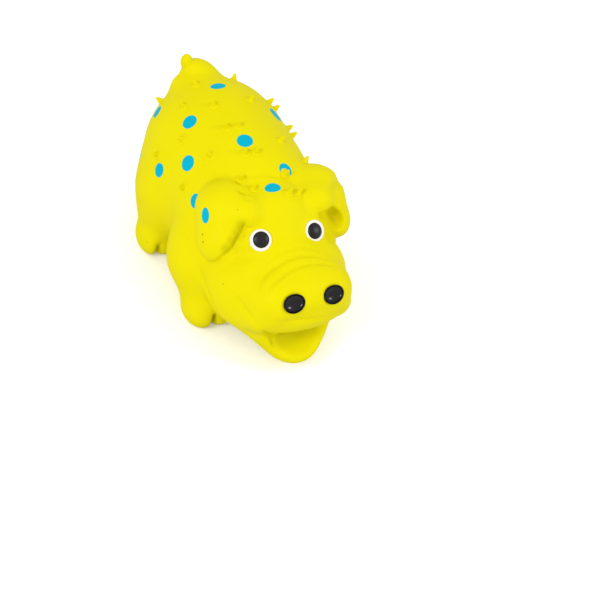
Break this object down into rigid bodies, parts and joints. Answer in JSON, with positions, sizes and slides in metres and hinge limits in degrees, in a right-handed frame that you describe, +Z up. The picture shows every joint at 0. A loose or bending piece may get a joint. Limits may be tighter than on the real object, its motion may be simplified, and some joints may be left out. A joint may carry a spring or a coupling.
{
  "type": "latex dog toy",
  "caption": "Small hollow latex squeak toy for dogs, a spotted standing pig with folded ears, an open lower lip and soft spikes on its back.",
  "frame": {"origin": "on the floor under the middle of the toy's bounding box, in the plane of its flat soles", "axes": "+X to the pig's own left side, +Y from the snout towards the tail, +Z up"},
  "size_m": [0.057, 0.0962, 0.0571],
  "materials": {
    "yellow_latex": "satin",
    "case_plastic": "satin",
    "reed_film": "gloss"
  },
  "bodies": {
    "toy": {"latex_skin": "yellow_latex", "squeaker_case": "case_plastic", "reed_seat": "case_plastic", "reed_clamp": "case_plastic"},
    "reed": {"reed": "reed_film"}
  },
  "joints": [
    {"name": "reed_flex", "type": "hinge", "parent": "toy", "child": "reed", "pos_m": [0, 0.00693, 0.00997], "axis": [1, 0, 0], "range_deg": [-2.5, 2.5], "stiffness_Nm_per_rad": 0.009}
  ]
}
